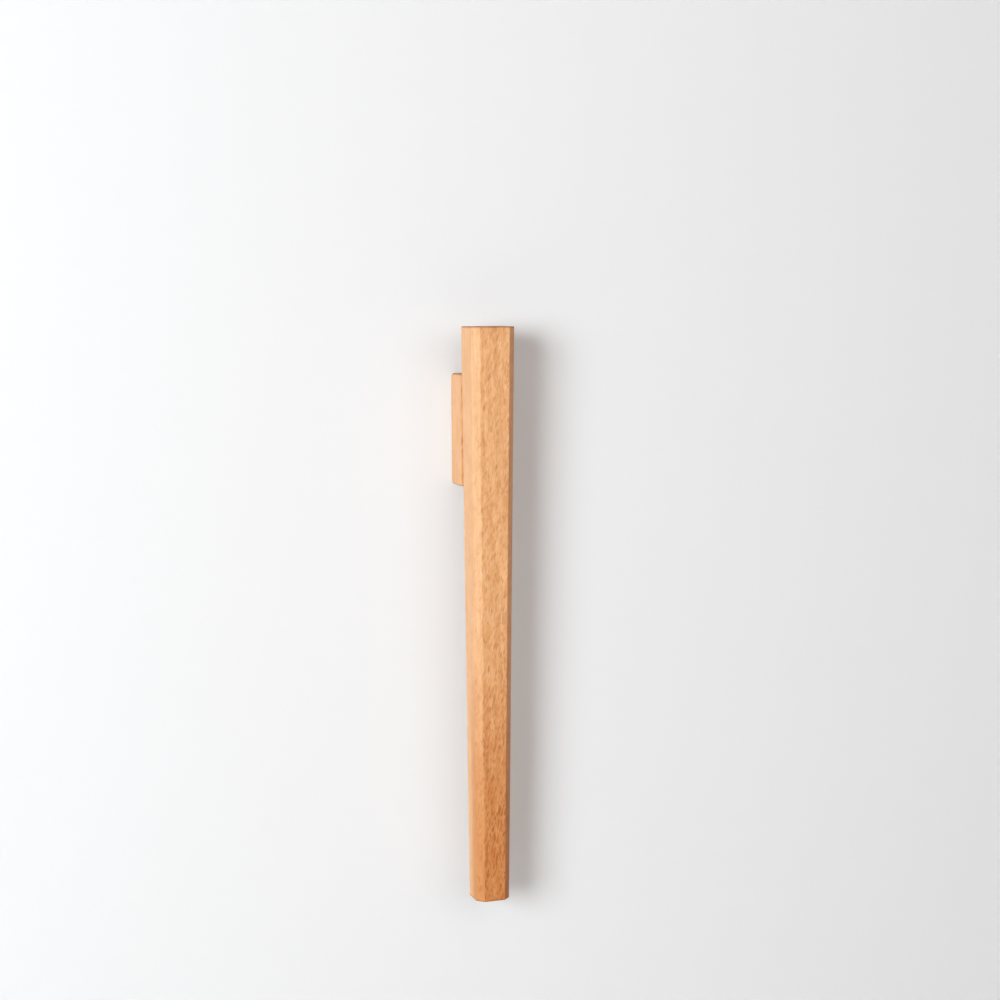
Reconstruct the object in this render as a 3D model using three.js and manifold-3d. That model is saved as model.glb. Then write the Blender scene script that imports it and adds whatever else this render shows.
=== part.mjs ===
// Wall vase: a tapered beech bar with a glass tube in it, held by magnets on a beech block that hangs on the wall.
// Millimetres, +Z up. The origin is the centre of the block's back face, the wall is at y = 0, the room at -Y.

import * as THREE from "three";
import { mergeVertices } from "three/addons/utils/BufferGeometryUtils.js";
import Module from "manifold-3d";

const wasm = await Module();
wasm.setup();

// Vase body: a square bar with chamfered long edges, upright at the back and drawn in on its other three sides
const BODY_LENGTH = 360;
const MOUTH_ACROSS = 28;
const FOOT_ACROSS = 22;
const BODY_CHAMFER = 4.3;
const BODY_EASE = 0.6;
const MOUTH_ABOVE_BLOCK = 29.5;

// Water tube: a glass test tube with a rolled lip that hangs in a counterbore
const TUBE_DIAMETER = 16;
const TUBE_WALL = 1.2;
const TUBE_LENGTH = 150;
const LIP_OVERHANG = 1.3;
const LIP_HEIGHT = 2;
const LIP_INSET = 0.25;
const LIP_CLEARANCE = 0.5;
const BORE_CLEARANCE = 0.6;
const BORE_FLOOR_GAP = 2.5;

// Wall block
const BLOCK_HEIGHT = 70;
const BLOCK_WIDTH = 27;
const BLOCK_THICKNESS = 19;
const BLOCK_CORNER = 2;
const BLOCK_EASE = 0.8;

// Magnets: the pair in the body stands proud and drops into the block's pockets, which locates the vase
const MAGNET_DIAMETER = 10;
const MAGNET_THICKNESS = 3;
const MAGNET_EASE = 0.3;
const MAGNET_FROM_BLOCK_END = 13;
const MAGNET_PROUD = 1;
const MAGNET_GAP = 0.3;
const GLUE_GAP = 0.2;
const KEY_CLEARANCE = 0.4;

// Keyhole plate: pressed steel, let into the upper half of the block's back
const PLATE_HEIGHT = 31;
const PLATE_WIDTH = 14;
const PLATE_THICKNESS = 1.5;
const PLATE_CORNER = 3;
const PLATE_BELOW_TOP = 2.5;
const PLATE_INSET = 0.2;
const PLATE_CLEARANCE = 0.3;
const KEYHOLE_ENTRY = 8.6;
const KEYHOLE_SLOT = 4.6;
const KEYHOLE_TRAVEL = 7.5;
const HEAD_ROOM_DEPTH = 6;
const HEAD_ROOM_CLEARANCE = 0.6;

// Plate screws: countersunk wood screws with a cross recess
const SCREW_DIAMETER = 3;
const SCREW_CORE = 2.1;
const SCREW_LENGTH = 10;
const SCREW_HEAD = 5.2;
const SCREW_PITCH = 1.35;
const SCREW_FROM_PLATE_END = 3.5;
const SCREW_CLEARANCE = 0.2;
const RECESS_WIDTH = 0.8;
const RECESS_SPAN = 2.6;
const RECESS_DEPTH = 1;

// How far a cutting tool runs past the face that it cuts
const OVERRUN = 1;

// Sides of a full circle, and of a quarter circle in an outline
const BORE_SIDES = 48;
const TURNED_SIDES = 32;
const SCREW_SIDES = 16;
const QUARTER_SIDES = 6;

// Heights that the vase and the block both take
const MOUTH_Z = BLOCK_HEIGHT / 2 + MOUTH_ABOVE_BLOCK;
const MAGNET_HEIGHTS = {
  upper: BLOCK_HEIGHT / 2 - MAGNET_FROM_BLOCK_END,
  lower: MAGNET_FROM_BLOCK_END - BLOCK_HEIGHT / 2,
};

// Heights of the keyhole plate and its screws, and how deep the plate lies in the block
const PLATE_Z = BLOCK_HEIGHT / 2 - PLATE_BELOW_TOP - PLATE_HEIGHT / 2;
const SCREW_HEIGHTS = {
  upper: PLATE_Z + PLATE_HEIGHT / 2 - SCREW_FROM_PLATE_END,
  lower: PLATE_Z - PLATE_HEIGHT / 2 + SCREW_FROM_PLATE_END,
};
const PLATE_BACK = -PLATE_INSET;
const PLATE_FRONT = PLATE_BACK - PLATE_THICKNESS;

// A closed geometry as a solid that can be cut.
function toSolid(geometry) {
  const bare = geometry.index ? geometry.toNonIndexed() : geometry.clone();
  bare.deleteAttribute("normal");
  bare.deleteAttribute("uv");
  const merged = mergeVertices(bare, 1e-4);
  const mesh = new wasm.Mesh({
    numProp: 3,
    vertProperties: merged.attributes.position.array,
    triVerts: new Uint32Array(merged.index.array),
  });
  return new wasm.Manifold(mesh);
}

// A geometry with each of the tools taken away.
function cut(geometry, tools) {
  const solid = tools.reduce((left, tool) => left.subtract(toSolid(tool)), toSolid(geometry));
  const { numProp, vertProperties, triVerts } = solid.getMesh();
  const made = new THREE.BufferGeometry();
  made.setAttribute("position", new THREE.BufferAttribute(vertProperties, numProp));
  made.setIndex(new THREE.BufferAttribute(triVerts, 1));
  made.computeVertexNormals();
  return made;
}

// A shape turned about the Y axis, from [radius, y] points that run from low y to high y round the outside.
function turned(points, sides = TURNED_SIDES) {
  return new THREE.LatheGeometry(
    points.map(([radius, y]) => new THREE.Vector2(radius, y)),
    sides,
  );
}

// A plain round tool along Y between two distances.
function roundTool(radius, from, to) {
  return turned([
    [0, from],
    [radius, from],
    [radius, to],
    [0, to],
  ]);
}

// A rectangle with rounded corners, centred on the origin.
function roundedRectangle(width, height, corner) {
  const x = width / 2 - corner;
  const z = height / 2 - corner;
  const outline = new THREE.Shape();
  outline.absarc(x, z, corner, 0, Math.PI / 2);
  outline.absarc(-x, z, corner, Math.PI / 2, Math.PI);
  outline.absarc(-x, -z, corner, Math.PI, 1.5 * Math.PI);
  outline.absarc(x, -z, corner, 1.5 * Math.PI, 2 * Math.PI);
  outline.closePath();
  return outline;
}

// An outline in X and Z, made solid from one y to another, with its edges eased where an ease is given.
function slab(outline, from, to, ease = 0) {
  const geometry = new THREE.ExtrudeGeometry(outline, {
    depth: to - from - 2 * ease,
    bevelEnabled: ease > 0,
    bevelThickness: ease,
    bevelSize: ease,
    bevelOffset: -ease,
    bevelSegments: 3,
    curveSegments: QUARTER_SIDES,
  });
  return geometry.rotateX(Math.PI / 2).translate(0, to - ease, 0);
}

function beech() {
  return new THREE.MeshStandardMaterial({ color: 0xe0a873, roughness: 0.6, metalness: 0 });
}

function clearGlass() {
  return new THREE.MeshStandardMaterial({
    color: 0xe8f1ee,
    roughness: 0.05,
    metalness: 0,
    transparent: true,
    opacity: 0.35,
  });
}

function nickelPlating() {
  return new THREE.MeshStandardMaterial({ color: 0xc9c6bf, roughness: 0.25, metalness: 1 });
}

function zincedSteel() {
  return new THREE.MeshStandardMaterial({ color: 0xb4b6b8, roughness: 0.4, metalness: 1 });
}

// The bar before it is bored. Its mouth is at z = 0 and its back face on y = 0.
function taperedBar() {
  const half = MOUTH_ACROSS / 2;
  const flat = half - BODY_CHAMFER;
  const outline = new THREE.Shape([
    new THREE.Vector2(flat, half),
    new THREE.Vector2(-flat, half),
    new THREE.Vector2(-half, flat),
    new THREE.Vector2(-half, -flat),
    new THREE.Vector2(-flat, -half),
    new THREE.Vector2(flat, -half),
    new THREE.Vector2(half, -flat),
    new THREE.Vector2(half, flat),
  ]);
  const bar = new THREE.ExtrudeGeometry(outline, {
    depth: BODY_LENGTH - 2 * BODY_EASE,
    bevelThickness: BODY_EASE,
    bevelSize: BODY_EASE,
    bevelOffset: -BODY_EASE,
    bevelSegments: 2,
  });
  bar.translate(0, -half, BODY_EASE - BODY_LENGTH);

  // The sides draw in alike, the front draws back and the back stays upright, so the chamfers keep their width.
  const corner = bar.attributes.position;
  for (let i = 0; i < corner.count; i += 1) {
    const drawIn = ((MOUTH_ACROSS - FOOT_ACROSS) * -corner.getZ(i)) / BODY_LENGTH;
    corner.setX(i, corner.getX(i) - (Math.sign(corner.getX(i)) * drawIn) / 2);
    if (corner.getY(i) < -half) corner.setY(i, corner.getY(i) + drawIn);
  }
  return bar;
}

// Height of the counterbore's floor, where the tube's lip sits, below the mouth
const SEAT_Z = -(LIP_INSET + LIP_HEIGHT);

// The blind bore for the tube, with the counterbore for its lip and a coned floor.
function boreTool() {
  const radius = TUBE_DIAMETER / 2 + BORE_CLEARANCE;
  const counterbore = TUBE_DIAMETER / 2 + LIP_OVERHANG + LIP_CLEARANCE;
  const floor = -LIP_INSET - TUBE_LENGTH - BORE_FLOOR_GAP;
  const tool = turned(
    [
      [0, floor],
      [radius / 2, floor],
      [radius, floor + radius / 2],
      [radius, SEAT_Z],
      [counterbore, SEAT_Z],
      [counterbore, OVERRUN],
      [0, OVERRUN],
    ],
    BORE_SIDES,
  );
  return tool.rotateX(Math.PI / 2).translate(0, -MOUTH_ACROSS / 2, 0);
}

function vaseBody() {
  const pocketFloor = MAGNET_PROUD - MAGNET_THICKNESS;
  const pockets = Object.values(MAGNET_HEIGHTS).map((height) =>
    roundTool(MAGNET_DIAMETER / 2 + GLUE_GAP, pocketFloor, OVERRUN).translate(0, 0, height - MOUTH_Z),
  );
  return cut(taperedBar(), [boreTool(), ...pockets]);
}

// The tube stands on z = 0 with the underside of its lip.
function waterTube() {
  const outer = TUBE_DIAMETER / 2;
  const inner = outer - TUBE_WALL;
  const lip = outer + LIP_OVERHANG;
  const roll = Math.min(LIP_HEIGHT / 2, LIP_OVERHANG);
  const flare = Math.min(TUBE_WALL, LIP_HEIGHT) / 2;
  const bowl = LIP_HEIGHT - TUBE_LENGTH + outer;

  // Half a section, from the bottom up the outside, over the lip and down the inside
  const section = new THREE.Path();
  section.absarc(0, bowl, outer, -Math.PI / 2, 0);
  section.lineTo(outer, 0);
  section.absarc(lip - roll, roll, roll, -Math.PI / 2, 0);
  section.absarc(lip - roll, LIP_HEIGHT - roll, roll, 0, Math.PI / 2);
  section.absarc(inner + flare, LIP_HEIGHT - flare, flare, Math.PI / 2, Math.PI);
  section.lineTo(inner, bowl);
  section.absarc(0, bowl, inner, 0, -Math.PI / 2, true);
  return new THREE.LatheGeometry(section.getPoints(QUARTER_SIDES / 2), TURNED_SIDES).rotateX(Math.PI / 2);
}

// A disc magnet whose front face is on y = 0.
function discMagnet() {
  const radius = MAGNET_DIAMETER / 2;
  return turned([
    [0, 0],
    [radius - MAGNET_EASE, 0],
    [radius, MAGNET_EASE],
    [radius, MAGNET_THICKNESS - MAGNET_EASE],
    [radius - MAGNET_EASE, MAGNET_THICKNESS],
    [0, MAGNET_THICKNESS],
  ]);
}

// Height of the middle of the keyhole's round entry above the plate's centre
const ENTRY_Z = (KEYHOLE_ENTRY - KEYHOLE_SLOT) / 4 - KEYHOLE_TRAVEL / 2;

// The keyhole: a round entry below, and a slot that runs up from it.
function keyhole() {
  const entry = KEYHOLE_ENTRY / 2;
  const slot = KEYHOLE_SLOT / 2;
  const meeting = Math.asin(slot / entry);
  const outline = new THREE.Path();
  outline.absarc(0, ENTRY_Z + KEYHOLE_TRAVEL, slot, 0, Math.PI);
  outline.absarc(0, ENTRY_Z, entry, Math.PI / 2 + meeting, 2.5 * Math.PI - meeting);
  outline.closePath();
  return outline;
}

// Half a section of a countersunk shank, from its lower end up to the head, which is on y = 0.
function countersunk(clearance, depth) {
  const shank = SCREW_DIAMETER / 2 + clearance;
  const head = SCREW_HEAD / 2 + clearance;
  return [
    [shank, -depth],
    [shank, shank - head],
    [head, 0],
  ];
}

function keyholePlate() {
  const outline = roundedRectangle(PLATE_WIDTH, PLATE_HEIGHT, PLATE_CORNER);
  outline.holes.push(keyhole());
  const plate = slab(outline, PLATE_FRONT, PLATE_BACK).translate(0, 0, PLATE_Z);
  const depth = PLATE_THICKNESS + OVERRUN;
  const mouth = SCREW_HEAD / 2 + SCREW_CLEARANCE;
  const holes = Object.values(SCREW_HEIGHTS).map((height) =>
    turned([[0, -depth], ...countersunk(SCREW_CLEARANCE, depth), [mouth, OVERRUN], [0, OVERRUN]]).translate(
      0,
      PLATE_BACK,
      height,
    ),
  );
  return cut(plate, holes);
}

// A screw whose head is on y = 0 and whose tip points into the block.
function plateScrew() {
  const core = SCREW_CORE / 2;
  const crest = SCREW_DIAMETER / 2;
  const threadStart = SCREW_DIAMETER - SCREW_LENGTH;
  const neck = -(PLATE_THICKNESS + SCREW_PITCH);
  const turns = Math.floor((neck - threadStart) / SCREW_PITCH);

  // The thread is a ridge for each turn
  const ridges = [];
  for (let i = 0; i < turns; i += 1) {
    const y = threadStart + i * SCREW_PITCH;
    ridges.push([core, y + SCREW_PITCH / 4], [crest, y + SCREW_PITCH / 2], [core, y + (3 * SCREW_PITCH) / 4]);
  }
  const screw = turned(
    [[0, -SCREW_LENGTH], [core, threadStart], ...ridges, [core, neck], ...countersunk(0, -neck), [0, 0]],
    SCREW_SIDES,
  );
  const recess = [
    new THREE.BoxGeometry(RECESS_WIDTH, 2 * RECESS_DEPTH, RECESS_SPAN),
    new THREE.BoxGeometry(RECESS_SPAN, 2 * RECESS_DEPTH, RECESS_WIDTH),
  ];
  return cut(screw, recess);
}

// Pockets in the block's front: a magnet lies at the bottom of each, and the one opposite drops in over it.
function keyPockets() {
  const floor = MAGNET_THICKNESS + MAGNET_GAP + MAGNET_PROUD - BLOCK_THICKNESS;
  return Object.values(MAGNET_HEIGHTS).map((height) =>
    roundTool(MAGNET_DIAMETER / 2 + KEY_CLEARANCE, -BLOCK_THICKNESS - OVERRUN, floor).translate(0, 0, height),
  );
}

// The recess for the plate, the room behind its keyhole for a screw head to rise in, and the pilot holes.
function plateRecesses() {
  const recess = roundedRectangle(
    PLATE_WIDTH + 2 * PLATE_CLEARANCE,
    PLATE_HEIGHT + 2 * PLATE_CLEARANCE,
    PLATE_CORNER + PLATE_CLEARANCE,
  );
  const headRoom = roundedRectangle(
    KEYHOLE_ENTRY + 2 * HEAD_ROOM_CLEARANCE,
    KEYHOLE_ENTRY + 2 * HEAD_ROOM_CLEARANCE + KEYHOLE_TRAVEL,
    KEYHOLE_ENTRY / 2,
  );
  const pilots = Object.values(SCREW_HEIGHTS).map((height) =>
    roundTool(SCREW_DIAMETER / 2 + SCREW_CLEARANCE, PLATE_BACK - SCREW_LENGTH - SCREW_CLEARANCE, OVERRUN).translate(
      0,
      0,
      height,
    ),
  );
  return [
    slab(recess, PLATE_FRONT, OVERRUN).translate(0, 0, PLATE_Z),
    slab(headRoom, PLATE_FRONT - HEAD_ROOM_DEPTH, OVERRUN).translate(0, 0, PLATE_Z + ENTRY_Z + KEYHOLE_TRAVEL / 2),
    ...pilots,
  ];
}

function wallBlock() {
  const block = slab(roundedRectangle(BLOCK_WIDTH, BLOCK_HEIGHT, BLOCK_CORNER), -BLOCK_THICKNESS, 0, BLOCK_EASE);
  return cut(block, [...keyPockets(), ...plateRecesses()]);
}

function named(name, geometry, material, y = 0, z = 0) {
  const mesh = new THREE.Mesh(geometry, material);
  mesh.name = name;
  mesh.position.set(0, y, z);
  return mesh;
}

// The block and what is fixed to it
const wallSide = new THREE.Group();
wallSide.add(named("wall_block", wallBlock(), beech()));
wallSide.add(named("keyhole_plate", keyholePlate(), zincedSteel()));
for (const [place, height] of Object.entries(SCREW_HEIGHTS)) {
  wallSide.add(named(`plate_screw_${place}`, plateScrew(), zincedSteel(), PLATE_BACK, height));
}
for (const [place, height] of Object.entries(MAGNET_HEIGHTS)) {
  const front = MAGNET_GAP + MAGNET_PROUD - BLOCK_THICKNESS;
  wallSide.add(named(`block_magnet_${place}`, discMagnet(), nickelPlating(), front, height));
}

// The vase: its mouth is at the group's own z = 0, and its back face lies on the block
const vase = new THREE.Group();
vase.position.set(0, -BLOCK_THICKNESS, MOUTH_Z);
vase.add(named("vase_body", vaseBody(), beech()));
vase.add(named("water_tube", waterTube(), clearGlass(), -MOUTH_ACROSS / 2, SEAT_Z));
for (const [place, height] of Object.entries(MAGNET_HEIGHTS)) {
  const front = MAGNET_PROUD - MAGNET_THICKNESS;
  vase.add(named(`body_magnet_${place}`, discMagnet(), nickelPlating(), front, height - MOUTH_Z));
}

const wallVase = new THREE.Group();
wallVase.add(wallSide, vase);

export default wallVase;
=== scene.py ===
from math import copysign, cos, hypot, pi, radians, sin, tau

import bmesh
import bpy
from mathutils import Matrix, Vector


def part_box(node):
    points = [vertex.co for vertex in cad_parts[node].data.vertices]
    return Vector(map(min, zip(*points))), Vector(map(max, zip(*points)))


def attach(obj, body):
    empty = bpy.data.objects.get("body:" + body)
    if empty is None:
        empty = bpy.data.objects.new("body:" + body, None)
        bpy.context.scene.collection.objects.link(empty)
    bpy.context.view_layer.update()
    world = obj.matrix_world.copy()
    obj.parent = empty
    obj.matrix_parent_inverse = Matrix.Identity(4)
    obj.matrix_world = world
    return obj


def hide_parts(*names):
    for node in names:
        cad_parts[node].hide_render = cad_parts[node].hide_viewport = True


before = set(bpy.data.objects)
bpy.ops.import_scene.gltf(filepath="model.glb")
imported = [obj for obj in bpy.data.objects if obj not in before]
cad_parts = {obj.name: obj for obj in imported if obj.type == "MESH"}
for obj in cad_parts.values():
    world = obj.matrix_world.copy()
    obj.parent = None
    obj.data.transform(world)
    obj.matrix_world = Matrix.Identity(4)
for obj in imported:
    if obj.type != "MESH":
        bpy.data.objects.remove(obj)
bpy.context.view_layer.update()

# The camera stands as it does for the picture: to the left of the vase, a little above its mouth.
# Its place and angles come from a fit of the vase's edges in the picture.
CAMERA_PLACE = (-0.37849, -1.16863, 0.07840)
CAMERA_YAW = radians(18.771)
CAMERA_PITCH = radians(5.779)
CAMERA_ROLL = radians(-0.291)
CAMERA_LENS = 69.915
CAMERA_SENSOR = 36

camera = bpy.data.objects.new("camera", bpy.data.cameras.new("camera"))
camera.data.lens = CAMERA_LENS
camera.data.sensor_width = CAMERA_SENSOR
facing = Matrix.Rotation(-CAMERA_YAW, 4, "Z") @ Matrix.Rotation(pi / 2 - CAMERA_PITCH, 4, "X")
camera.matrix_world = Matrix.Translation(CAMERA_PLACE) @ facing @ Matrix.Rotation(CAMERA_ROLL, 4, "Z")
bpy.context.scene.collection.objects.link(camera)
bpy.context.scene.camera = camera

# Wall block: a plain block of beech that hangs on the wall. Two pockets in its front take the magnets,
# and its back is routed out for the keyhole plate and for the head of the wall screw.
# Shapes are worked in millimetres and scaled to metres when they are finished.
MM = 0.001
BLOCK_CORNER = 2
BLOCK_EASE = 0.8
BLOCK_EASE_STEPS = 5
POCKET_CLEARANCE = 0.4
RECESS_CLEARANCE = 0.3
RECESS_CORNER = 3.3
HEAD_ROOM_WIDTH = 9.8
HEAD_ROOM_HEIGHT = 17.3
HEAD_ROOM_CORNER = 4.3
HEAD_ROOM_DEPTH = 6
HEAD_ROOM_Z = 18
PILOT_RADIUS = 1.7
PILOT_SPARE = 0.2
BLOCK_IN_TREE = (40, 15, 90)
BLOCK_PITH = (35, 60, 0)
OVERRUN = 1
ROUND_STEPS = 96
CORNER_STEPS = 8
MERGE_DISTANCE = 0.001
SHARP_ANGLE = radians(40)
FLAT_FACES_WEIGHT = 100
LIES_ACROSS = 0.9
PLACES = ("upper", "lower")


def box_mm(node):
    """The lowest and highest corner of a node, in millimetres."""
    return [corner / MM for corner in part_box(node)]


def middle_mm(node):
    """The centre of a node, in millimetres."""
    low, high = box_mm(node)
    return (low + high) / 2


def bevel(bm, edges, width, steps):
    """Rounds edges, or chamfers them in a single step."""
    bmesh.ops.bevel(
        bm,
        geom=edges,
        offset=width,
        offset_type="OFFSET",
        segments=steps,
        profile=0.5,
        affect="EDGES",
        clamp_overlap=True,
        material=-1,
    )


def brick(size, centre):
    """A plain block."""
    bm = bmesh.new()
    bmesh.ops.create_cube(bm, size=1)
    bmesh.ops.scale(bm, vec=size, verts=bm.verts)
    bmesh.ops.translate(bm, vec=centre, verts=bm.verts)
    return bm


def slab(width, height, corner, y_from, y_to, z):
    """A board that stands in the X-Z plane, with its four corners rounded."""
    thick = y_to - y_from
    bm = brick((width, thick, height), (0, (y_from + y_to) / 2, z))
    corners = [e for e in bm.edges if abs(e.verts[0].co.y - e.verts[1].co.y) > thick / 2]
    bevel(bm, corners, corner, CORNER_STEPS)
    return bm


def rod(radius, y_from, y_to, z, far_radius=None):
    """A round bar along Y, or a cone if its far end has another radius."""
    bm = bmesh.new()
    bmesh.ops.create_cone(
        bm,
        cap_ends=True,
        segments=ROUND_STEPS,
        radius1=radius,
        radius2=radius if far_radius is None else far_radius,
        depth=y_to - y_from,
        matrix=Matrix.Translation((0, (y_from + y_to) / 2, z)) @ Matrix.Rotation(-pi / 2, 4, "X"),
    )
    return bm


def edges_across_y(bm):
    """The edges round a shape's flat front and back."""
    return [e for e in bm.edges if any(abs(f.normal.y) > LIES_ACROSS for f in e.link_faces)]


def as_object(name, bm):
    """A bmesh as an object in the scene."""
    mesh = bpy.data.meshes.new(name)
    bm.to_mesh(mesh)
    bm.free()
    obj = bpy.data.objects.new(name, mesh)
    bpy.context.scene.collection.objects.link(obj)
    return obj


def carve(bm, tools):
    """Takes the shape of each tool out of a solid."""
    solid = as_object("solid", bm)
    cutters = [as_object("tool", tool) for tool in tools]
    for cutter in cutters:
        cut = solid.modifiers.new("cut", "BOOLEAN")
        cut.operation = "DIFFERENCE"
        cut.solver = "EXACT"
        cut.object = cutter
    shown = solid.evaluated_get(bpy.context.evaluated_depsgraph_get())
    carved = bmesh.new()
    carved.from_mesh(bpy.data.meshes.new_from_object(shown))
    for used in (solid, *cutters):
        bpy.data.meshes.remove(used.data)
    return carved


def finished(name, bm, material):
    """A shape as a piece of the vase: in metres, smooth where it is round and crisp where it is not."""
    bmesh.ops.remove_doubles(bm, verts=bm.verts, dist=MERGE_DISTANCE)
    bmesh.ops.recalc_face_normals(bm, faces=bm.faces)
    bmesh.ops.scale(bm, vec=(MM, MM, MM), verts=bm.verts)
    for face in bm.faces:
        face.smooth = True
    piece = as_object(name, bm)
    piece.data.set_sharp_from_angle(angle=SHARP_ANGLE)
    piece.data.materials.append(material)
    flats = piece.modifiers.new("flat faces stay flat", "WEIGHTED_NORMAL")
    flats.weight = FLAT_FACES_WEIGHT
    flats.keep_sharp = True
    return piece


def linear(colour):
    """An sRGB hex colour as the linear colour that shaders take."""
    channels = [int(colour[i : i + 2], 16) / 255 for i in (1, 3, 5)]
    return [c / 12.92 if c <= 0.04045 else ((c + 0.055) / 1.055) ** 2.4 for c in channels] + [1]


def add_node(owner, kind, inputs=None, out=None, **settings):
    """Adds a node, links or sets its inputs, and gives back its first output or a named one."""
    node = owner.node_tree.nodes.new("ShaderNode" + kind)
    for name, value in settings.items():
        setattr(node, name, value)
    # An input is found by its name or its place. The settings switch off those that the node doesn't use.
    for name, value in (inputs or {}).items():
        socket = next(s for i, s in enumerate(node.inputs) if s.enabled and name in (i, s.name))
        if isinstance(value, bpy.types.NodeSocket):
            owner.node_tree.links.new(value, socket)
        else:
            socket.default_value = linear(value) if isinstance(value, str) else value
    return next((s for s in node.outputs if s.enabled and out in (None, s.name)), None)


def new_material(name):
    """A material with nothing in it."""
    material = bpy.data.materials.new(name)
    material.use_nodes = True
    material.node_tree.nodes.clear()
    return material


# Steamed beech, planed, sanded and oiled. The front and the back cut across its rays, which show as short
# dark flecks. The sides show fine straight grain, and the end grain is darker, with pale rays. The rings
# keep their real width, and fibres and flecks, too fine to show, are drawn two to three times as coarse.
BEECH_PALE = "#f7bf89"
BEECH = "#ebab71"
BEECH_LATE = "#d9955c"
BEECH_PAINTED_LIT_SIDE = "#e7bc93"
BEECH_PAINTED_SHADED_SIDE = "#cd885e"
BEECH_SILVER = "#ffd0a0"
BEECH_RAY = "#ad5f28"
BEECH_DARKER_FOOT = "#e6caa9"
BEECH_END = "#a8683b"
BEECH_END_LATE = "#814a28"
BEECH_END_RAY = "#d39a68"
BEECH_THROWN = "#cba88c"
RING_WIDTH = 2.6
RING_STRETCH = 0.06
RING_LATE = 0.45
RING_UNEVEN = {"Distortion": 2.2, "Detail": 1, "Detail Scale": 5}
# A wave texture's rings are tau / 20 apart at a scale of 1
WAVE_RATE = 20
STREAK_ROUGHNESS = 0.6
STREAKS = {
    # size in X, Y and Z, lean in degrees, detail, and the noise where a streak begins and where it is full
    "mottle": ((3.2, 9, 12), 0, 3, 0.36, 0.66),
    "band": ((1.7, 1.7, 90), 0, 2, 0.45, 0.7),
    "fibre": ((0.5, 0.5, 26), 0, 3, 0.42, 0.72),
    "flake": ((20, 2.4, 1.6), 0, 2, 0.52, 0.7),
    "silver": ((0.8, 20, 5), 8, 2, 0.52, 0.68),
}
FLECKS = {
    # size of a fleck's cell in X, Y and Z, lean in degrees, and thickness in the cell
    "broad fleck": ((1.4, 20, 5.6), 10, 0.55),
    "short fleck": ((1.0, 20, 3.6), -6, 0.5),
    "long fleck": ((2.0, 20, 8), 15, 0.5),
}
FLECK_CORE = 0.4
FLECK_CHANCE = (0.15, 0.9)
FLECK_FAINTEST = 0.1
FLECK_WAVE = (2.6, 20, 6)
FLECK_BEND = 1.3
FLECKS_AT_MOUTH = 0.55
FACES_FRONT = (0.45, 1)
FACES_SIDE = (0.72, 0.98)
FACES_END = (0.55, 0.95)
# How far from the middle the painted light on the left side and the painted shade on the right side start
# and are full, and their strength
SIDE_LIGHT_AND_SHADE = ((3, 6), 0.5)
# The foot is darker than the mouth, and most of all on its front
TOWARDS_FOOT_Z = (-270, -90)
DARKER_FRONT_Y = (-36, -27)
# How far the oil soaks in from an end
SOAKED = 1.4
GRAIN_STRENGTH = 0.35
GRAIN_DEPTH = 0.05
GRAIN_RELIEF = (-0.6, 0.5)
OILED_ROUGHNESS = (0.46, 0.58)
OILED_GLOSS = {"IOR": 1.5, "Specular IOR Level": 0.3}
LAYERS = (
    # where a tone lies, how strongly, its colour, and how it mixes with what is under it
    (("mottle",), 1, BEECH, "MIX"),
    (("ring",), 0.35, BEECH_LATE, "MIX"),
    # The left side is painted paler, as if lit by the key lamp, and the right side darker, as painted shade
    (("side", "lit left side"), 1, BEECH_PAINTED_LIT_SIDE, "MIX"),
    (("side", "shaded right side"), 1, BEECH_PAINTED_SHADED_SIDE, "MIX"),
    (("band",), 0.25, BEECH_LATE, "MIX"),
    (("fibre",), 0.3, BEECH_LATE, "MIX"),
    (("flake", "not front"), 0.25, BEECH_LATE, "MIX"),
    (("silver", "front"), 0.35, BEECH_SILVER, "MIX"),
    (("broad fleck", "front", "lively"), 0.6, BEECH_RAY, "MIX"),
    (("short fleck", "front", "lively"), 0.5, BEECH_RAY, "MIX"),
    (("long fleck", "front", "lively"), 0.4, BEECH_RAY, "MIX"),
    (("foot", "fore"), 1, BEECH_DARKER_FOOT, "MULTIPLY"),
    (("end",), 0.75, BEECH_END, "MIX"),
    (("ring", "end"), 0.5, BEECH_END_LATE, "MIX"),
    (("silver", "end"), 0.4, BEECH_END_RAY, "MIX"),
)


def streaks(wood, spot, size, lean, detail, begins, full):
    """Soft streaks: 0 between them and 1 on them."""
    turn = {"Vector": spot, "Rotation": (0, radians(lean), 0), "Scale": size}
    cell = add_node(wood, "Mapping", turn, vector_type="TEXTURE")
    grain = {"Vector": cell, "Scale": 1, "Detail": detail, "Roughness": STREAK_ROUGHNESS}
    limits = {"Value": add_node(wood, "TexNoise", grain), "From Min": begins, "From Max": full}
    return add_node(wood, "MapRange", limits, interpolation_type="SMOOTHSTEP")


def flecks(wood, spot, bend, size, lean, thick):
    """The cut ends of rays: a spot in each stretched cell, bent a little, each with its own strength."""
    turn = {"Vector": spot, "Rotation": (0, radians(lean), 0), "Scale": size}
    cell = add_node(wood, "Mapping", turn, vector_type="TEXTURE")
    bent = add_node(wood, "VectorMath", {0: cell, 1: bend}, operation="ADD")
    centre = add_node(wood, "TexVoronoi", {"Vector": bent, "Scale": 1})
    chance = add_node(wood, "SeparateColor", {"Color": centre.node.outputs["Color"]})
    parts = (
        # what it follows, where it starts and ends, and its strength at each
        (centre, thick * FLECK_CORE, thick, 1, 0),
        (chance, *FLECK_CHANCE, FLECK_FAINTEST, 1),
    )
    mark = 1
    for value, start, end, at_start, at_end in parts:
        limits = {"Value": value, "From Min": start, "From Max": end, "To Min": at_start, "To Max": at_end}
        part = add_node(wood, "MapRange", limits, interpolation_type="SMOOTHSTEP")
        mark = add_node(wood, "Math", {0: mark, 1: part}, operation="MULTIPLY")
    return mark


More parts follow.
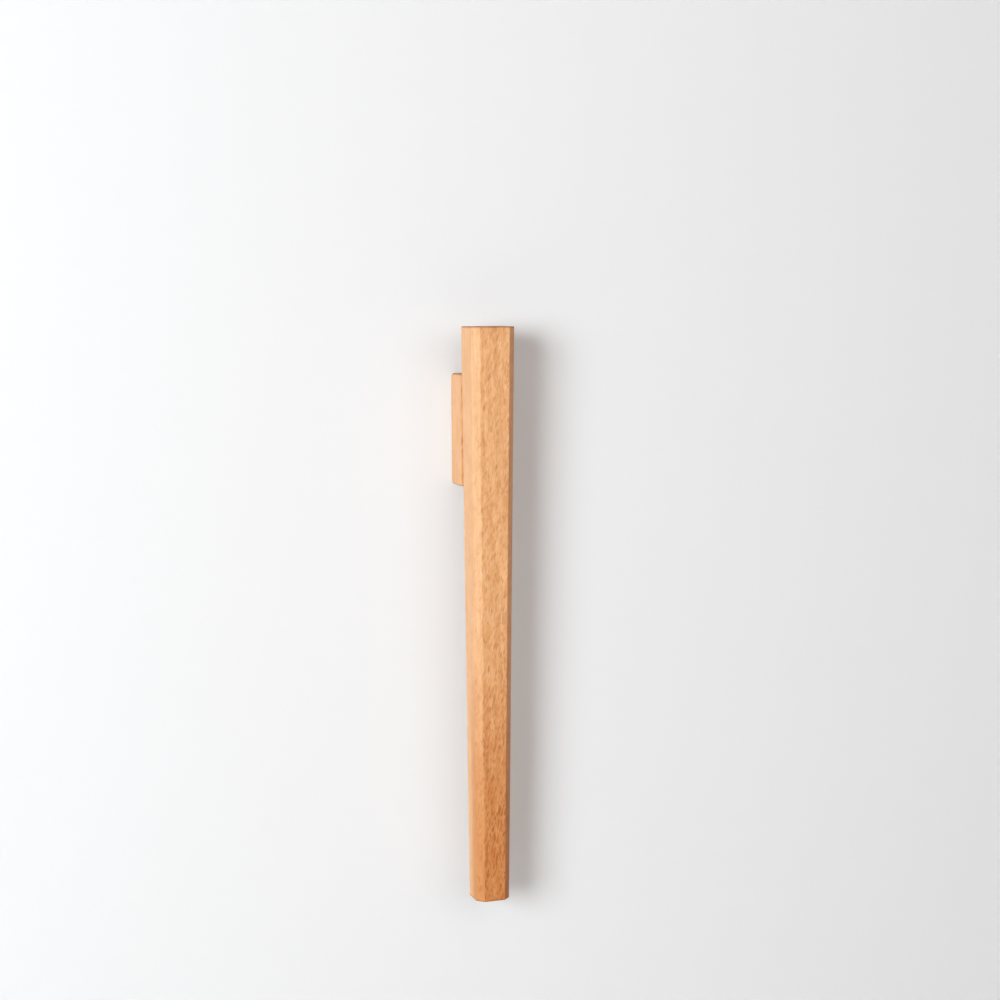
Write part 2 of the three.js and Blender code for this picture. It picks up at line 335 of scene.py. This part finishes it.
def beech(name, place, pith, ends):
    """Beech from its own place in the tree, with its rings round the pith and end grain at its two ends."""
    wood = new_material(name)
    metres = add_node(wood, "TexCoord", out="Object")
    spot = add_node(wood, "VectorMath", {0: metres, "Scale": 1 / MM}, operation="SCALE")
    x, y, z = add_node(wood, "SeparateXYZ", {"Vector": spot}).node.outputs
    normal = add_node(wood, "NewGeometry", out="Normal")
    turned_to = add_node(wood, "VectorMath", {0: normal}, operation="ABSOLUTE")
    _, turned_y, turned_z = add_node(wood, "SeparateXYZ", {"Vector": turned_to}).node.outputs

    bottom, top = ends
    (painted_from, painted_to), tone = SIDE_LIGHT_AND_SHADE
    zones = {
        # what it follows, where it starts and ends, and its strength at each
        "front": (turned_y, *FACES_FRONT, 0, 1),
        "not front": (turned_y, *FACES_FRONT, 1, 0),
        "side": (turned_y, *FACES_SIDE, 1, 0),
        "end": (turned_z, *FACES_END, 0, 1),
        "lit left side": (x, -painted_to, -painted_from, tone, 0),
        "shaded right side": (x, painted_from, painted_to, 0, tone),
        "lively": (z, *TOWARDS_FOOT_Z, 1, FLECKS_AT_MOUTH),
        "foot": (z, *TOWARDS_FOOT_Z, 1, 0),
        "fore": (y, *DARKER_FRONT_Y, 1, 0),
        "lower rim": (z, bottom, bottom + SOAKED, 1, 0),
        "upper rim": (z, top - SOAKED, top, 0, 1),
    }
    masks = {}
    for zone, (value, start, end, at_start, at_end) in zones.items():
        limits = {"Value": value, "From Min": start, "From Max": end, "To Min": at_start, "To Max": at_end}
        masks[zone] = add_node(wood, "MapRange", limits, interpolation_type="SMOOTHSTEP")
    for rim in ("lower rim", "upper rim"):
        masks["end"] = add_node(wood, "Math", {0: masks["end"], 1: masks[rim]}, operation="MAXIMUM")

    moved = add_node(wood, "VectorMath", {0: spot, 1: place}, operation="SUBTRACT")
    for pattern, shape_of_it in STREAKS.items():
        masks[pattern] = streaks(wood, moved, *shape_of_it)
    wave_cell = add_node(wood, "Mapping", {"Vector": moved, "Scale": FLECK_WAVE}, vector_type="TEXTURE")
    wave = add_node(wood, "TexNoise", {"Vector": wave_cell, "Scale": 1, "Detail": 2}, out="Color")
    bend = add_node(wood, "VectorMath", {0: wave, "Scale": FLECK_BEND}, operation="SCALE")
    for pattern, shape_of_it in FLECKS.items():
        masks[pattern] = flecks(wood, moved, bend, *shape_of_it)
    along = {"Vector": spot, "Location": -Vector(pith), "Scale": (1, 1, RING_STRETCH)}
    about_pith = add_node(wood, "Mapping", along)
    rings = {"Vector": about_pith, "Scale": tau / (WAVE_RATE * RING_WIDTH), **RING_UNEVEN}
    kind = {"wave_type": "RINGS", "rings_direction": "Z", "wave_profile": "SAW"}
    ring = add_node(wood, "TexWave", rings, "Fac", **kind)
    limits = {"Value": ring, "From Min": RING_LATE}
    masks["ring"] = add_node(wood, "MapRange", limits, interpolation_type="SMOOTHSTEP")

    colour = BEECH_PALE
    shares = {}
    for where, strength, tone, way in LAYERS:
        share = strength
        for mask in where:
            share = add_node(wood, "Math", {0: share, 1: masks[mask]}, operation="MULTIPLY")
        mixed = {"Factor": share, "A": colour, "B": tone}
        colour = add_node(wood, "Mix", mixed, data_type="RGBA", blend_type=way)
        shares.setdefault(where[0], share)

    # What the wood throws on the wall and on itself is duller than its own colour, as in the picture
    thrown = {"Factor": add_node(wood, "LightPath", out="Is Diffuse Ray"), "A": colour, "B": BEECH_THROWN}
    colour = add_node(wood, "Mix", thrown, data_type="RGBA")

    # Rays sink a little below the fibres, and are glossier
    relief = add_node(wood, "Math", {0: shares["fibre"], 1: shares["broad fleck"]}, operation="SUBTRACT")
    grain = {"Strength": GRAIN_STRENGTH, "Distance": GRAIN_DEPTH * MM, "Height": relief}
    bump = add_node(wood, "Bump", grain)
    (sunk, raised), (glossy, matt) = GRAIN_RELIEF, OILED_ROUGHNESS
    limits = {"Value": relief, "From Min": sunk, "From Max": raised, "To Min": glossy, "To Max": matt}
    rough = add_node(wood, "MapRange", limits)
    oiled = {"Base Color": colour, "Roughness": rough, "Normal": bump, **OILED_GLOSS}
    surface = add_node(wood, "BsdfPrincipled", oiled)
    add_node(wood, "OutputMaterial", {"Surface": surface})
    return wood


block_low, block_high = box_mm("wall_block")
block_size = block_high - block_low
plate_low, plate_high = box_mm("keyhole_plate")
plate_size = plate_high - plate_low
plate_z = middle_mm("keyhole_plate").z
screw_low, screw_high = box_mm("plate_screw_upper")
screw_length = screw_high.y - screw_low.y

shape = slab(block_size.x, block_size.z, BLOCK_CORNER, block_low.y, block_high.y, 0)
bevel(shape, edges_across_y(shape), BLOCK_EASE, BLOCK_EASE_STEPS)
tools = []
for place in PLACES:
    magnet_low, magnet_high = box_mm(f"block_magnet_{place}")
    pocket_radius = (magnet_high.x - magnet_low.x) / 2 + POCKET_CLEARANCE
    magnet_z = middle_mm(f"block_magnet_{place}").z
    tools.append(rod(pocket_radius, block_low.y - OVERRUN, magnet_high.y, magnet_z))
    pilot_end = plate_high.y - screw_length - PILOT_SPARE
    tools.append(rod(PILOT_RADIUS, pilot_end, block_high.y, middle_mm(f"plate_screw_{place}").z))
recess_size = (plate_size.x + 2 * RECESS_CLEARANCE, plate_size.z + 2 * RECESS_CLEARANCE)
head_room_size = (HEAD_ROOM_WIDTH, HEAD_ROOM_HEIGHT)
head_room_y = (plate_low.y - HEAD_ROOM_DEPTH, plate_low.y + OVERRUN / 2)
tools.append(slab(*recess_size, RECESS_CORNER, plate_low.y, block_high.y + OVERRUN, plate_z))
tools.append(slab(*head_room_size, HEAD_ROOM_CORNER, *head_room_y, HEAD_ROOM_Z))
block_ends = (block_low.z, block_high.z)
block_beech = beech("oiled beech of the block", BLOCK_IN_TREE, BLOCK_PITH, block_ends)
block = finished("block", carve(shape, tools), block_beech)
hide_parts("wall_block")
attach(block, "wall_side")

# Disc magnets: neodymium discs, nickel plated, glued in with a drop of adhesive.
# The pair in the block lies at the bottom of its pockets and the pair in the vase stands proud.
MAGNET_EASE = 0.3
MAGNET_EASE_STEPS = 4
NICKEL = "#c9c6bf"
NICKEL_DULL = "#aaa69e"
NICKEL_ROUGHNESS = (0.16, 0.34)
# Real scratches are hairlines, and are drawn coarser so that they show
SCRATCH_SIZE = (0.25, 0.25, 3)


def nickel():
    """Bright nickel plate: a warm grey mirror, a little hazed and scratched by handling."""
    plating = new_material("nickel plate on the magnets")
    metres = add_node(plating, "TexCoord", out="Object")
    scratch = [side * MM for side in SCRATCH_SIZE]
    cell = add_node(plating, "Mapping", {"Vector": metres, "Scale": scratch}, vector_type="TEXTURE")
    haze = add_node(plating, "TexNoise", {"Vector": cell, "Scale": 1, "Detail": 3})
    colour = add_node(plating, "Mix", {"Factor": haze, "A": NICKEL, "B": NICKEL_DULL}, data_type="RGBA")
    bright, dulled = NICKEL_ROUGHNESS
    rough = add_node(plating, "MapRange", {"Value": haze, "To Min": bright, "To Max": dulled})
    surface = add_node(plating, "BsdfPrincipled", {"Base Color": colour, "Metallic": 1, "Roughness": rough})
    add_node(plating, "OutputMaterial", {"Surface": surface})
    return plating


magnet_nickel = nickel()
for holder, rider in (("block", "wall_side"), ("body", "vase")):
    for place in PLACES:
        node = f"{holder}_magnet_{place}"
        low, high = box_mm(node)
        shape = rod((high.x - low.x) / 2, low.y, high.y, (low.z + high.z) / 2)
        bevel(shape, edges_across_y(shape), MAGNET_EASE, MAGNET_EASE_STEPS)
        magnet = finished(f"{holder}_magnet_disc_{place}", shape, magnet_nickel)
        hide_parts(node)
        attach(magnet, rider)

# Keyhole plate: pressed from steel strip and zinc plated, let into the block's back.
# Its round entry passes the wall screw's head, and the slot above it takes the shank.
PLATE_CORNER = 3
PRESSED_EDGE = 0.2
PRESSED_STEPS = 3
PRESSED_ANGLE = radians(35)
ENTRY_RADIUS = 4.3
ENTRY_Z = 14.25
SLOT_WIDTH = 4.6
SLOT_END_Z = 21.75
SLOT_END_ROUND = 2.29
SCREW_CLEARANCE = 0.2
ZINC = "#b9bbbd"
ZINC_DULL = "#9a9ea4"
ZINC_ROUGHNESS = (0.3, 0.5)
# Real rolling lines are finer too, and are drawn coarser in the same way
ROLLING_SIZE = (9, 9, 0.3)
ROLLING_STRENGTH = 0.25
ROLLING_DEPTH = 0.02
CLOUD_SIZE = 2.5


def zinc():
    """Zinc plate on steel: blue grey, satin, with faint rolling lines under it and cloudy patches."""
    plating = new_material("zinc plate on steel")
    metres = add_node(plating, "TexCoord", out="Object")
    rolling = [side * MM for side in ROLLING_SIZE]
    cell = add_node(plating, "Mapping", {"Vector": metres, "Scale": rolling}, vector_type="TEXTURE")
    lines = add_node(plating, "TexNoise", {"Vector": cell, "Scale": 1, "Detail": 3})
    cloud = add_node(plating, "TexNoise", {"Vector": metres, "Scale": 1 / (CLOUD_SIZE * MM), "Detail": 3})
    colour = add_node(plating, "Mix", {"Factor": cloud, "A": ZINC, "B": ZINC_DULL}, data_type="RGBA")
    bright, dulled = ZINC_ROUGHNESS
    rough = add_node(plating, "MapRange", {"Value": cloud, "To Min": bright, "To Max": dulled})
    rolled = {"Strength": ROLLING_STRENGTH, "Distance": ROLLING_DEPTH * MM, "Height": lines}
    bump = add_node(plating, "Bump", rolled)
    satin = {"Base Color": colour, "Metallic": 1, "Roughness": rough, "Normal": bump}
    surface = add_node(plating, "BsdfPrincipled", satin)
    add_node(plating, "OutputMaterial", {"Surface": surface})
    return plating


zinced = zinc()
head_radius = (screw_high.x - screw_low.x) / 2
sink_radius = head_radius + SCREW_CLEARANCE
through = (plate_low.y - OVERRUN, plate_high.y + OVERRUN)
slot_length = SLOT_END_Z - ENTRY_Z
tools = [
    rod(ENTRY_RADIUS, *through, ENTRY_Z),
    slab(SLOT_WIDTH, slot_length + SLOT_WIDTH, SLOT_END_ROUND, *through, ENTRY_Z + slot_length / 2),
]
for place in PLACES:
    screw_z = middle_mm(f"plate_screw_{place}").z
    tools.append(rod(sink_radius - plate_size.y - OVERRUN, *through, screw_z, sink_radius + OVERRUN))
strip = slab(plate_size.x, plate_size.z, PLATE_CORNER, plate_low.y, plate_high.y, plate_z)
shape = carve(strip, tools)
pressed = [e for e in shape.edges if len(e.link_faces) == 2 and e.calc_face_angle() > PRESSED_ANGLE]
bevel(shape, pressed, PRESSED_EDGE, PRESSED_STEPS)
plate = finished("plate", shape, zinced)
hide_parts("keyhole_plate")
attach(plate, "wall_side")

# Plate screws: small countersunk wood screws with a cross recess, zinc plated like the plate they hold.
# The thread is rolled, a ridge that climbs round the core.
SCREW_STEPS = 48
SCREW_CORE = 1.05
SCREW_SHANK = 1.5
SCREW_POINT = 2.6
SCREW_PITCH = 1.35
THREAD_START = 2.6
THREAD_RUNOUT = 0.5
THREAD_STEPS = 24
RIDGE_FOOT = 0.95
RIDGE_HALF = 0.3
HEAD_EDGE = 0.1
CROSS_WIDTH = 0.8
CROSS_SPAN = 2.7
CROSS_DEPTH = 1.1
CROSS_TAPER = 0.5

for place in PLACES:
    node = f"plate_screw_{place}"
    low, high = box_mm(node)
    axis_z = (low.z + high.z) / 2
    tip, face = low.y, high.y
    section = [
        (0, tip),
        (SCREW_CORE, tip + SCREW_POINT),
        (SCREW_CORE, face - THREAD_START),
        (SCREW_SHANK, face - THREAD_START + THREAD_RUNOUT),
        (SCREW_SHANK, face - (head_radius - SCREW_SHANK)),
        (head_radius, face - HEAD_EDGE),
        (head_radius - HEAD_EDGE, face),
        (0, face),
    ]
    axis = {"cent": (0, 0, axis_z), "axis": (0, 1, 0)}
    shape = bmesh.new()
    points = [shape.verts.new((radius, y, axis_z)) for radius, y in section]
    edges = [shape.edges.new(pair) for pair in zip(points, points[1:])]
    bmesh.ops.spin(shape, geom=points + edges, **axis, angle=tau, steps=SCREW_STEPS, use_merge=True)
    bmesh.ops.remove_doubles(shape, verts=shape.verts, dist=MERGE_DISTANCE)
    bmesh.ops.recalc_face_normals(shape, faces=shape.faces)
    crosses = []
    for width, span in ((CROSS_WIDTH, CROSS_SPAN), (CROSS_SPAN, CROSS_WIDTH)):
        cross = brick((width, 2 * CROSS_DEPTH, span), (0, 0, 0))
        deep = [v for v in cross.verts if v.co.y < 0]
        bmesh.ops.scale(cross, vec=(CROSS_TAPER, 1, CROSS_TAPER), verts=deep)
        bmesh.ops.translate(cross, vec=(0, face, axis_z), verts=cross.verts)
        crosses.append(cross)
    shape = carve(shape, crosses)
    ridge_start = tip + 2 * SCREW_CORE
    turns = (face - THREAD_START - ridge_start) / SCREW_PITCH
    ridge = [
        shape.verts.new((radius, ridge_start + climb, axis_z))
        for radius, climb in ((RIDGE_FOOT, -RIDGE_HALF), (SCREW_SHANK, 0), (RIDGE_FOOT, RIDGE_HALF))
    ]
    ridge_face = shape.faces.new(ridge)
    bmesh.ops.spin(
        shape,
        geom=[ridge_face, *ridge_face.edges, *ridge],
        **axis,
        dvec=(0, SCREW_PITCH / THREAD_STEPS, 0),
        angle=tau * turns,
        steps=round(THREAD_STEPS * turns),
    )
    screw = finished(f"wood_screw_{place}", shape, zinced)
    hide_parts(node)
    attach(screw, "wall_side")

# Vase body: one bar of beech, planed to a taper on three sides and upright at the back. Its long edges are
# chamfered. It is bored from the top for the glass tube, and its back has a shallow pocket for each magnet.
FOOT_ACROSS = 22
BODY_CHAMFER = 4.3
ARRIS = 0.5
ARRIS_STEPS = 3
BORE_RADIUS = 8.6
COUNTERBORE_RADIUS = 9.8
LIP_HEIGHT = 2
BORE_FLOOR_GAP = 2.5
RIM_EASE = 0.25
RIM_EASE_STEPS = 3
GLUE_GAP = 0.2
NEAR = 0.01
BAR_IN_TREE = (0, 0, 0)
BAR_PITH = (-25, 75, 0)

body_low, body_high = box_mm("vase_body")
mouth_across = body_high.x - body_low.x
tube_low, tube_high = box_mm("water_tube")
tube_axis_y = middle_mm("water_tube").y
seat_z = tube_high.z - LIP_HEIGHT
floor_z = tube_low.z - BORE_FLOOR_GAP


def turned(section, axis_y):
    """A shape turned about an upright axis, from a section of radii and heights."""
    bm = bmesh.new()
    points = [bm.verts.new((radius, axis_y, z)) for radius, z in section]
    edges = [bm.edges.new(pair) for pair in zip(points, points[1:])]
    bmesh.ops.spin(
        bm,
        geom=points + edges,
        cent=(0, axis_y, 0),
        axis=(0, 0, 1),
        angle=tau,
        steps=ROUND_STEPS,
        use_merge=True,
    )
    bmesh.ops.remove_doubles(bm, verts=bm.verts, dist=MERGE_DISTANCE)
    bmesh.ops.recalc_face_normals(bm, faces=bm.faces)
    return bm


# A cube whose top and bottom each take their own width, flush at the back
shape = bmesh.new()
bmesh.ops.create_cube(shape, size=1)
for corner in shape.verts:
    across, z = (mouth_across, body_high.z) if corner.co.z > 0 else (FOOT_ACROSS, body_low.z)
    corner.co = (corner.co.x * across, body_high.y - (0.5 - corner.co.y) * across, z)
long_edges = [e for e in shape.edges if abs(e.verts[0].co.z - e.verts[1].co.z) > FOOT_ACROSS]
bevel(shape, long_edges, BODY_CHAMFER, 1)
bevel(shape, shape.edges[:], ARRIS, ARRIS_STEPS)

# The bore's bottom is flat in the middle and slopes up to its side
bore_section = [
    (0, floor_z),
    (BORE_RADIUS / 2, floor_z),
    (BORE_RADIUS, floor_z + BORE_RADIUS / 2),
    (BORE_RADIUS, seat_z),
    (COUNTERBORE_RADIUS, seat_z),
    (COUNTERBORE_RADIUS, body_high.z + OVERRUN),
    (0, body_high.z + OVERRUN),
]
tools = [turned(bore_section, tube_axis_y)]
for place in PLACES:
    low, high = box_mm(f"body_magnet_{place}")
    pocket_radius = (high.x - low.x) / 2 + GLUE_GAP
    tools.append(rod(pocket_radius, low.y, body_high.y + OVERRUN, (low.z + high.z) / 2))
shape = carve(shape, tools)
mouth = set()
for corner in shape.verts:
    from_axis = hypot(corner.co.x, corner.co.y - tube_axis_y)
    if abs(corner.co.z - body_high.z) < NEAR and abs(from_axis - COUNTERBORE_RADIUS) < NEAR:
        mouth.add(corner)
rim = [e for e in shape.edges if mouth.issuperset(e.verts)]
bevel(shape, rim, RIM_EASE, RIM_EASE_STEPS)
body_beech = beech("oiled beech of the bar", BAR_IN_TREE, BAR_PITH, (body_low.z, body_high.z))
body = finished("bar", shape, body_beech)
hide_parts("vase_body")
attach(body, "vase")

# Water tube: a clear glass test tube with a round bottom and a rolled lip, fire polished.
# It hangs by its lip in the counterbore and holds the water.
TUBE_RADIUS = 8
TUBE_WALL = 1.2
LIP_RADIUS = 9.3
LIP_FILLET = 0.3
BOWL_STEPS = 20
LIP_STEPS = 12
FILLET_STEPS = 4
RIM_STEPS = 6
GLASS_TINT = "#f9fcfb"
GLASS_ROUGHNESS = 0.02
GLASS_IOR = 1.52
WAVE_SIZE = 12
WAVE_STRENGTH = 0.15
WAVE_DEPTH = 0.1

tube_inner = TUBE_RADIUS - TUBE_WALL
lip_roll = LIP_HEIGHT / 2
rim_roll = TUBE_WALL / 2
bowl_z = tube_low.z + TUBE_RADIUS


def arc(centre_radius, centre_z, radius, start, end, steps):
    """Points along a round stretch of a section, between two angles in degrees."""
    angles = [radians(start + (end - start) * i / steps) for i in range(steps + 1)]
    return [(centre_radius + radius * cos(a), centre_z + radius * sin(a)) for a in angles]


tube_section = [
    *arc(0, bowl_z, TUBE_RADIUS, -90, 0, BOWL_STEPS),
    *arc(TUBE_RADIUS + LIP_FILLET, seat_z - LIP_FILLET, LIP_FILLET, 180, 90, FILLET_STEPS),
    *arc(LIP_RADIUS - lip_roll, seat_z + lip_roll, lip_roll, -90, 90, LIP_STEPS),
    *arc(tube_inner + rim_roll, tube_high.z - rim_roll, rim_roll, 90, 180, RIM_STEPS),
    *arc(0, bowl_z, tube_inner, 0, -90, BOWL_STEPS),
]


def glass():
    """Clear soda glass: smooth and all but colourless, with a breath of green and a slight wave."""
    clear = new_material("clear glass")
    metres = add_node(clear, "TexCoord", out="Object")
    wave = add_node(clear, "TexNoise", {"Vector": metres, "Scale": 1 / (WAVE_SIZE * MM), "Detail": 1})
    wavy = {"Strength": WAVE_STRENGTH, "Distance": WAVE_DEPTH * MM, "Height": wave}
    polished = {
        "Base Color": GLASS_TINT,
        "Roughness": GLASS_ROUGHNESS,
        "IOR": GLASS_IOR,
        "Transmission Weight": 1,
        "Normal": add_node(clear, "Bump", wavy),
    }
    surface = add_node(clear, "BsdfPrincipled", polished)
    add_node(clear, "OutputMaterial", {"Surface": surface})
    return clear


tube = finished("test_tube", turned(tube_section, tube_axis_y), glass())
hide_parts("water_tube")
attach(tube, "tube")

# The wall and the floor: painted plaster, and a pale floor well below. They are the stage and not part of
# the vase. From behind, the wall is clear, and it has an opening behind the block, so that light reaches
# the hanger.
# The stage is built in metres. Only its opening and the texture of its paint are sized in millimetres.
WALL_HALF = 4.0
WALL_BEHIND = 0.0002
FLOOR_Z = -1.1
OPENING_MARGIN = 1.0
WALL_PAINT = "#f3f3f3"
FLOOR_PAINT = "#c6c4c1"
FLOOR_SEEN = "#e9e7e5"
FLOOR_EVEN = 0.85
PAINT_ROUGHNESS = 0.9
PEEL_SIZE = 3
PEEL_STRENGTH = 0.08
PEEL_DEPTH = 0.1


def paint(name, colour):
    """Matt paint, with the faint orange peel of a roller. The material still needs its output."""
    painted = new_material(name)
    metres = add_node(painted, "TexCoord", out="Object")
    peel = add_node(painted, "TexNoise", {"Vector": metres, "Scale": 1 / (PEEL_SIZE * MM), "Detail": 2})
    rolled = {"Strength": PEEL_STRENGTH, "Distance": PEEL_DEPTH * MM, "Height": peel}
    bump = add_node(painted, "Bump", rolled)
    matt = {"Base Color": colour, "Roughness": PAINT_ROUGHNESS, "Normal": bump}
    return painted, add_node(painted, "BsdfPrincipled", matt)


wall_paint, lit = paint("wall paint", WALL_PAINT)
from_behind = add_node(wall_paint, "NewGeometry", out="Backfacing")
clear_view = add_node(wall_paint, "BsdfTransparent")
one_way = add_node(wall_paint, "MixShader", {0: from_behind, 1: lit, 2: clear_view})
add_node(wall_paint, "OutputMaterial", {"Surface": one_way})

# A grid of three by three, whose middle is drawn in to the block and then left open
shape = bmesh.new()
bmesh.ops.create_grid(shape, x_segments=3, y_segments=3, size=WALL_HALF)
bmesh.ops.rotate(shape, cent=(0, 0, 0), matrix=Matrix.Rotation(pi / 2, 3, "X"), verts=shape.verts)
opening_half = [(side / 2 - OPENING_MARGIN) * MM for side in block_size]
for corner in shape.verts:
    for axis in (0, 2):
        if abs(corner.co[axis]) < WALL_HALF / 2:
            corner.co[axis] = copysign(opening_half[axis], corner.co[axis])
    corner.co.y = WALL_BEHIND
centre = min(shape.faces, key=lambda f: f.calc_center_median().length)
bmesh.ops.delete(shape, geom=[centre], context="FACES")
wall = as_object("wall", shape)
wall.data.materials.append(wall_paint)

# To the camera the floor is evenly pale out to its far edge, where the lamps no longer reach it
floor_paint, lit = paint("floor paint", FLOOR_PAINT)
looked_at = add_node(floor_paint, "LightPath", out="Is Camera Ray")
share = add_node(floor_paint, "Math", {0: looked_at, 1: FLOOR_EVEN}, operation="MULTIPLY")
even = add_node(floor_paint, "Emission", {"Color": FLOOR_SEEN})
pale = add_node(floor_paint, "MixShader", {0: share, 1: lit, 2: even})
add_node(floor_paint, "OutputMaterial", {"Surface": pale})

shape = bmesh.new()
bmesh.ops.create_grid(shape, x_segments=1, y_segments=1, size=WALL_HALF)
bmesh.ops.translate(shape, vec=(0, WALL_BEHIND, FLOOR_Z), verts=shape.verts)
floor = as_object("floor", shape)
floor.data.materials.append(floor_paint)

# Studio light: a large softbox to the left of the camera and nearly level with the vase throws the soft
# shadow to the right. Two wide, weaker ones in front and to the right open the shadows, and one behind
# lights the hanger.
SOFTBOXES = {
    # angle to the left, rise, distance, size, power, colour
    "key": (45, 9, 2.5, 1.15, 50, "#f4fafe"),
    "front_fill": (0, 25, 3.0, 2.0, 14, "#fff8f5"),
    "right_fill": (-30, 10, 3.0, 1.5, 9, "#fff8f5"),
    "back_light": (-150, 25, 2.5, 1.5, 32, "#fff8f5"),
}
AIM = Vector((0, 0, -0.1))

for name, (angle, rise, distance, size, power, colour) in SOFTBOXES.items():
    left, up = radians(angle), radians(rise)
    direction = Vector((-sin(left) * cos(up), -cos(left) * cos(up), sin(up)))
    softbox = bpy.data.objects.new(name, bpy.data.lights.new(name, "AREA"))
    softbox.data.shape = "DISK"
    softbox.data.size = size
    softbox.data.energy = power
    softbox.data.color = linear(colour)[:3]
    softbox.location = AIM + direction * distance
    softbox.rotation_mode = "QUATERNION"
    softbox.rotation_quaternion = direction.to_track_quat("Z", "Y")
    softbox.visible_camera = False
    bpy.context.scene.collection.objects.link(softbox)

# The room: an even light on the vase, and a pale background. Gloss reflects that background on the left,
# where the windows of a studio would be, and behind the wall. In front, to the right, it reflects a
# dimmer room.
ROOM_LIGHT = "#746f6d"
ROOM_DIM = "#6e6b69"
BACKGROUND = "#f3f2f2"
DIMMER_ROOM = (
    # the axis it follows, where it starts and ends, and how dim the room is at each
    ("X", -0.6, 0.5, 0, 1),
    ("Y", 0, 0.2, 1, 0),
)

world = bpy.data.worlds.new("room")
bpy.context.scene.world = world
world.use_nodes = True
world.node_tree.nodes.clear()
direction = add_node(world, "TexCoord", out="Generated")
heading = add_node(world, "SeparateXYZ", {"Vector": direction}).node.outputs
dim = 1
for axis, start, end, at_start, at_end in DIMMER_ROOM:
    value = heading[axis]
    limits = {"Value": value, "From Min": start, "From Max": end, "To Min": at_start, "To Max": at_end}
    part = add_node(world, "MapRange", limits, interpolation_type="SMOOTHSTEP")
    dim = add_node(world, "Math", {0: dim, 1: part}, operation="MULTIPLY")
mirrored = add_node(world, "Mix", {"Factor": dim, "A": BACKGROUND, "B": ROOM_DIM}, data_type="RGBA")
rays = add_node(world, "LightPath").node.outputs
shown = ROOM_LIGHT
for ray, sight in (("Glossy", mirrored), ("Transmission", BACKGROUND), ("Camera", BACKGROUND)):
    seen = {"Factor": rays[f"Is {ray} Ray"], "A": shown, "B": sight}
    shown = add_node(world, "Mix", seen, data_type="RGBA")
background = add_node(world, "Background", {"Color": shown})
add_node(world, "OutputWorld", {"Surface": background})

bpy.context.scene.view_settings.view_transform = "Standard"
